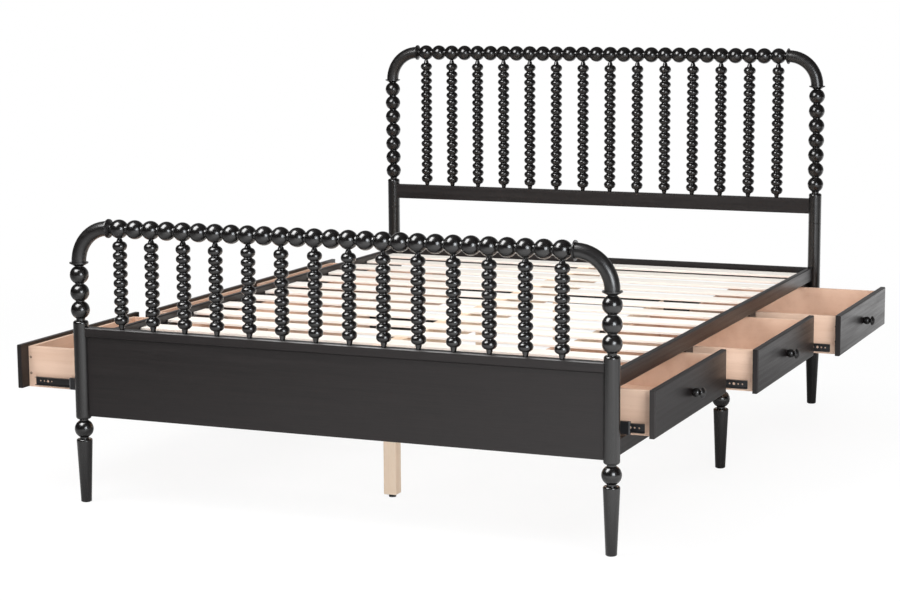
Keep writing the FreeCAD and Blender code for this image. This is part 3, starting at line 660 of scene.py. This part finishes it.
@dataclass(frozen=True)
class Bumper:
    """A C-shaped bumper on a channel's end, with the channel's sizes and the bumper's length."""

    depth: float
    height: float
    flange: float
    web: float
    long: float
    tip_inset: float = 0.0004
    tip_run: float = 0.0012
    rows: int = 61
    columns: int = 16
    straight: float = 0.95

    def grid(self) -> np.ndarray:
        """Work out the surface, a flattened round profile carried along a path.

        The path runs from one flange's tip to the web, along the web and out to the other tip. At each of its
        points the profile is a superellipse of the power 4, as long as the bumper along the channel and as
        thick as the flange or the web there. It shrinks to a point at both tips.

        Returns:
            A grid of shape (rows, columns, 3): x along the channel, y into its depth, z up from its middle.
        """
        half = (self.height - self.flange) / 2.0
        tip_y, web_y = self.depth - self.tip_inset, self.web / 2.0
        corner_y = np.array([tip_y, web_y, web_y, tip_y])
        corner_z = np.array([half, half, -half, -half])
        run = np.concatenate(([0.0], np.cumsum(np.hypot(np.diff(corner_y), np.diff(corner_z)))))
        along = np.linspace(0.0, run[-1], self.rows)
        y, z = np.interp(along, run, corner_y), np.interp(along, run, corner_z)
        slope_y, slope_z = np.gradient(y, along), np.gradient(z, along)
        length = np.hypot(slope_y, slope_z)
        tip = np.clip(np.minimum(along, run[-1] - along) / self.tip_run, 0.0, 1.0) ** 0.5
        on_flange = np.abs(slope_y) > self.straight * length
        thick = np.where(on_flange, self.flange, self.web) / 2.0 * tip
        turn = np.linspace(0.0, 2.0 * np.pi, self.columns, endpoint=False)
        flat, bulge = (np.sign(wave) * np.sqrt(np.abs(wave)) for wave in (np.cos(turn), np.sin(turn)))
        offset = thick[:, None] * bulge
        x = (self.long / 2.0 * tip)[:, None] * flat
        return np.stack((x, y[:, None] + (slope_z / length)[:, None] * offset,
                         z[:, None] - (slope_y / length)[:, None] * offset), axis=-1)


@dataclass
class EndFrames:
    """The foot and the head: turned posts, elbows, ball rails and spindles around flat boards."""

    turned: tuple[str, ...] = ("foot_post_left", "foot_post_right", "head_post_left", "head_post_right",
                               "head_upper_posts", "foot_spindles", "head_spindles")
    rails: tuple[str, ...] = ("foot_top_rail", "head_top_rail")
    elbows: tuple[str, ...] = ("foot_elbows", "head_elbows")
    boards: tuple[str, ...] = ("foot_cap_rail", "foot_panel", "head_mid_rail", "head_panel")

    def make(self) -> list[str]:
        """Dress the pieces and return their names."""
        names = dress(TURNED_UP, *self.turned) + dress(TURNED_ACROSS, *self.rails)
        names += dress(ELBOW_BENT, *self.elbows) + dress(BOARD_ACROSS, *self.boards)
        return names + dress(DOWEL_WOOD, "joint_dowels")


@dataclass
class SideFrames:
    """The long sides: rails, legs, drawer partitions, the fixed slides in them and the corner brackets."""

    rails: tuple[str, ...] = ("side_rail_left", "side_rail_right", "lower_rails", "slat_cleats")
    brackets: tuple[str, ...] = ("corner_brackets", "bracket_screws")

    def make(self) -> list[str]:
        """Dress the pieces and return their names."""
        names = dress(BOARD_ALONG, *self.rails) + dress(BOARD_UP, "drawer_partitions")
        names += dress(TURNED_UP, "turned_legs") + dress(GLIDE_PLASTIC, "leg_glides")
        names += dress(PINE_ALONG, "inner_rails") + dress(SLIDE_STEEL, "fixed_slides")
        return names + dress(BRACKET_STEEL, *self.brackets)


@dataclass
class SlatBase:
    """The slats with the beam and the legs under their middle."""

    def make(self) -> list[str]:
        """Dress the pieces and return their names."""
        return dress(SLAT_WOOD, "slats") + dress(PINE_ALONG, "centre_beam") + dress(PINE_UP, "centre_legs")


@dataclass
class Drawer:
    """A drawer: front, box, knob and slides, with the screws and bumpers that are fitted to them."""

    side: Side
    bay: int
    wall: float = 0.012
    box_screw: ScrewHead = ScrewHead(0.0037, 0.0005, 0.002)
    box_screw_inset: float = 0.0065
    box_screw_heights: tuple[float, float] = (0.040, 0.087)
    knob_screw: ScrewHead = ScrewHead(0.0055, 0.0024, 0.001)
    flange: float = 0.0047
    steel: float = 0.0015
    channel_depth: float = 0.0091
    bumper_long: float = 0.006

    @property
    def key(self) -> str:
        """The drawer's side and number, as they stand in the names of its pieces."""
        return f"{self.side.word}_{self.bay}"

    def make(self) -> list[str]:
        """Dress the drawer's pieces, build its fittings and return all their names."""
        names = dress(BOARD_ALONG, f"drawer_front_{self.key}") + dress(BOX_WOOD, f"drawer_box_{self.key}")
        names += dress(KNOB_TURNED, f"drawer_knob_{self.key}")
        names += dress(SLIDE_STEEL, f"drawer_slide_{self.key}", f"middle_slide_{self.key}")
        return names + [self.add_box_screws(), self.add_knob_screw(), self.add_bumpers()]

    def front_x(self, node: str) -> float:
        """Return the X of a piece's face towards the drawer's front."""
        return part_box(node)[1 if self.side is Side.RIGHT else 0].x

    def add_box_screws(self) -> str:
        """Build the four dark screws that hold the box's sides to its inner front, and return their name."""
        low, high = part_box(f"drawer_box_{self.key}")
        x = self.front_x(f"drawer_box_{self.key}") - self.side.value * self.box_screw_inset
        faces = np.meshgrid((-1.0, 1.0), self.box_screw_heights, indexing="ij")
        facing, heights = (grid.ravel() for grid in faces)
        y = np.where(facing < 0.0, low.y, high.y)
        origins = np.stack((np.full_like(y, x), y, low.z + heights), axis=-1)
        outward = np.stack((np.zeros_like(y), facing, np.zeros_like(y)), axis=-1)
        grids = placed(self.box_screw.grid(), outward, origins)
        return add_piece(f"box_screws_{self.key}", grids, SCREW_STEEL, f"drawer_{self.key}")

    def add_knob_screw(self) -> str:
        """Build the screw head that holds the knob, inside the box, and return its name."""
        low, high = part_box(f"drawer_knob_{self.key}")
        x = self.front_x(f"drawer_box_{self.key}") - self.side.value * self.wall
        origin = np.array([[x, (low.y + high.y) / 2.0, (low.z + high.z) / 2.0]])
        outward = np.array([[-float(self.side.value), 0.0, 0.0]])
        grids = placed(self.knob_screw.grid(), outward, origin)
        return add_piece(f"knob_screw_{self.key}", grids, ZINC_STEEL, f"drawer_{self.key}")

    def add_bumpers(self) -> str:
        """Build the two bumpers on the front ends of the middle slides, and return their name."""
        low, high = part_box(f"middle_slide_{self.key}")
        x = self.front_x(f"middle_slide_{self.key}") + self.side.value * self.bumper_long / 4.0
        shape = Bumper(self.channel_depth, high.z - low.z, self.flange, self.steel, self.bumper_long)
        middle_z = (low.z + high.z) / 2.0
        near = shape.grid() + np.array([x, low.y, middle_z])
        far = shape.grid() * np.array([1.0, -1.0, 1.0]) + np.array([x, high.y, middle_z])
        name = f"slide_bumpers_{self.key}"
        return add_piece(name, np.stack((near, far)), BUMPER_PLASTIC, f"middle_{self.key}")


@dataclass(frozen=True)
class Lamp:
    """A flat soft lamp that faces the bed."""

    name: str
    place: Place
    width: float
    height: float
    radiance: float
    tint: Colour = (1.0, 1.0, 1.0)
    aim: Place = (0.0, -0.2, 0.5)
    gives: Gives = Gives.BOTH

    def hang(self) -> str:
        """Hang the lamp and return its name."""
        back = Vector(self.place) - Vector(self.aim)
        data = bpy.data.lights.new(self.name, "AREA")
        data.shape = "RECTANGLE"
        data.size, data.size_y = self.width, self.height
        data.energy = self.radiance * math.pi * self.width * self.height
        data.color = self.tint
        lamp = bpy.data.objects.new(self.name, data)
        lamp.location = self.place
        lamp.rotation_euler = back.to_track_quat("Z", "Y").to_euler()
        lamp.visible_camera = False
        lamp.visible_diffuse = self.gives is not Gives.SHINE
        lamp.visible_glossy = self.gives is not Gives.LIGHT
        bpy.context.scene.collection.objects.link(lamp)
        return self.name


COOL = (0.92, 0.96, 1.0)


@dataclass
class Studio:
    """The pale floor, the backdrop, the lamps and the camera."""

    lamps: tuple[Lamp, ...] = (
        Lamp("key", (-1.35, -2.3, 3.4), 1.9, 2.5, 5.8),
        Lamp("key_shine", (-1.35, -2.3, 3.39), 1.9, 2.5, 10.2, gives=Gives.SHINE),
        Lamp("fill", (2.9, -1.9, 3.3), 1.2, 1.2, 10.0, gives=Gives.LIGHT),
        Lamp("right", (3.6, -4.1, 1.65), 2.1, 2.1, 10.0, COOL),
        Lamp("right_shine", (3.58, -4.06, 1.64), 2.1, 2.1, 3.2, COOL, gives=Gives.SHINE),
    )
    ambient: float = 0.50
    overhead: float = 0.55
    overhead_rise: Edges = (0.3, 1.0)
    sky_dark: float = 0.03
    sky_top: float = 0.10
    sky_top_rise: Edges = (0.7, 1.0)
    sky_band: float = 0.4
    sky_band_rise: Edges = (0.3, 0.9)
    sky_band_fall: Edges = (0.25, 0.6)
    floor_radius: float = 9.0
    floor_rings: int = 19
    floor_columns: int = 96
    floor_drop: float = 0.0003
    floor_tone: float = 0.90
    floor_white: float = 0.90
    floor_fade: Edges = (4.0, 20.0)
    # The floor's glow in reflections is painted light, brighter at the front right and behind the head.
    glow_least: float = 0.36
    glow_right: float = 1.20
    glow_right_rise: Edges = (-2.4, 0.8)
    glow_front_fall: Edges = (-1.0, 1.0)
    glow_behind: float = 1.10
    glow_behind_rise: Edges = (1.2, 3.6)
    # Painted shadow of the bed in reflections: the share of glow left under the bed, and the reach over which
    # it fades back.
    glow_middle: float = 0.25
    glow_middle_rise: Edges = (0.4, 4.0)
    yaw: float = 23.11033
    pitch: float = 8.68984
    roll: float = -0.38878
    aim: Place = (-0.04109, -0.167, 0.49149)
    distance: float = 6.7171
    focal_pixels: float = 2192.137
    image_wide: float = 900.0
    sensor_wide: float = 36.0

    def make(self) -> list[str]:
        """Build the studio and return the names of what stands in it."""
        self.hang_backdrop()
        return [self.lay_floor(), self.place_camera()] + [lamp.hang() for lamp in self.lamps]

    def hang_backdrop(self) -> None:
        """Make the world.

        It is white to the eye. In reflections it is dark, with a grey zenith and a pale band low behind the
        head. As light it is soft, and stronger from above.
        """
        world = bpy.data.worlds.new("backdrop")
        world.use_nodes = True
        bpy.context.scene.world = world
        web = Web(world.node_tree)
        seen, mirrored = self.rays(web)
        along, up = web.parts(web.add("ShaderNodeTexCoord", output="Generated"))[1:]
        band = along.ramp(*self.sky_band_rise) * (1.0 - up.ramp(*self.sky_band_fall))
        mirror_sky = self.sky_dark + self.sky_top * up.ramp(*self.sky_top_rise) + self.sky_band * band
        even = self.ambient + self.overhead * up.ramp(*self.overhead_rise)
        strength = seen + (1.0 - seen) * (even + mirrored * (mirror_sky - even))
        sky = web.add("ShaderNodeBackground", inputs={"Color": WHITE, "Strength": strength})
        web.close(sky, "ShaderNodeOutputWorld")

    def rays(self, web: Web) -> tuple[Signal, Signal]:
        """Tell rays apart.

        Args:
            web: The web to add nodes to.

        Returns:
            1 for rays from the eye, and 1 for rays that come by a mirror or through glass.
        """
        seen = web.add("ShaderNodeLightPath", output="Is Camera Ray")
        outputs = seen.socket.node.outputs
        mirrored = Signal(web, outputs["Is Glossy Ray"]).larger(Signal(web, outputs["Is Transmission Ray"]))
        return seen, mirrored

    def lay_floor(self) -> str:
        """Lay a round floor that fades into the white backdrop and keeps the bed's shadow.

        A point of the floor is its distance from the middle times the cosine and the sine of its angle. In
        reflections the floor shows a painted glow, brighter at the front right and behind the head, and a
        painted shadow that dims it under the bed.

        Returns:
            The floor's name.
        """
        reach, turn = ring_grid(np.linspace(0.0, self.floor_radius, self.floor_rings), self.floor_columns)
        level = np.full_like(reach, -self.floor_drop)
        points = np.stack((reach * np.cos(turn), reach * np.sin(turn), level), axis=-1)
        floor = bpy.data.objects.new("floor", closed_mesh("floor", points[None]))
        material, web = empty_material("floor")
        x, y = web.parts(web.point)[:2]
        seen, mirrored = self.rays(web)
        reach_squared = x * x + y * y
        seen_share = self.floor_white + (1.0 - self.floor_white) * reach_squared.ramp(*self.floor_fade)
        # Painted light and shadow in reflections: the glow rises at the front right and behind the head, and
        # is dimmed under the bed.
        right = x.ramp(*self.glow_right_rise) * (1.0 - y.ramp(*self.glow_front_fall))
        glow = self.glow_least + self.glow_right * right + self.glow_behind * y.ramp(*self.glow_behind_rise)
        middle = self.glow_middle + (1.0 - self.glow_middle) * reach_squared.ramp(*self.glow_middle_rise)
        strength = 1.0 + mirrored * (glow * middle - 1.0)
        lit = web.add("ShaderNodeBsdfDiffuse", inputs={"Color": (self.floor_tone,) * 3 + (1.0,)})
        white = web.add("ShaderNodeEmission", inputs={"Color": WHITE, "Strength": strength})
        web.close(web.add("ShaderNodeMixShader", inputs={0: seen * seen_share + mirrored, 1: lit, 2: white}))
        floor.data.materials.append(material)
        bpy.context.scene.collection.objects.link(floor)
        return floor.name

    def place_camera(self) -> str:
        """Place the camera at the photograph's viewpoint and return its name."""
        yaw, pitch, roll = (math.radians(angle) for angle in (self.yaw, self.pitch, self.roll))
        back = Vector((math.sin(yaw) * math.cos(pitch), -math.cos(yaw) * math.cos(pitch), math.sin(pitch)))
        level = Vector((math.cos(yaw), math.sin(yaw), 0.0))
        upright = back.cross(level)
        right = math.cos(roll) * level + math.sin(roll) * upright
        up = math.cos(roll) * upright - math.sin(roll) * level
        data = bpy.data.cameras.new("camera")
        data.sensor_fit = "HORIZONTAL"
        data.sensor_width = self.sensor_wide
        data.lens = self.focal_pixels / self.image_wide * self.sensor_wide
        camera = bpy.data.objects.new("camera", data)
        camera.matrix_world = Matrix((right, up, back)).transposed().to_4x4()
        camera.location = Vector(self.aim) + back * self.distance
        bpy.context.scene.collection.objects.link(camera)
        bpy.context.scene.camera = camera
        return camera.name


def main() -> None:
    """Build the bed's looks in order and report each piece."""
    logging.basicConfig(level=logging.INFO, format="%(message)s")
    bpy.context.scene.view_settings.view_transform = "Standard"
    drawers = [Drawer(side, bay) for side in Side for bay in BAYS]
    for assembly in [Studio(), EndFrames(), SideFrames(), SlatBase(), *drawers]:
        for name in assembly.make():
            LOG.info("%s: %s", type(assembly).__name__, name)


if __name__ == "__main__":
    main()
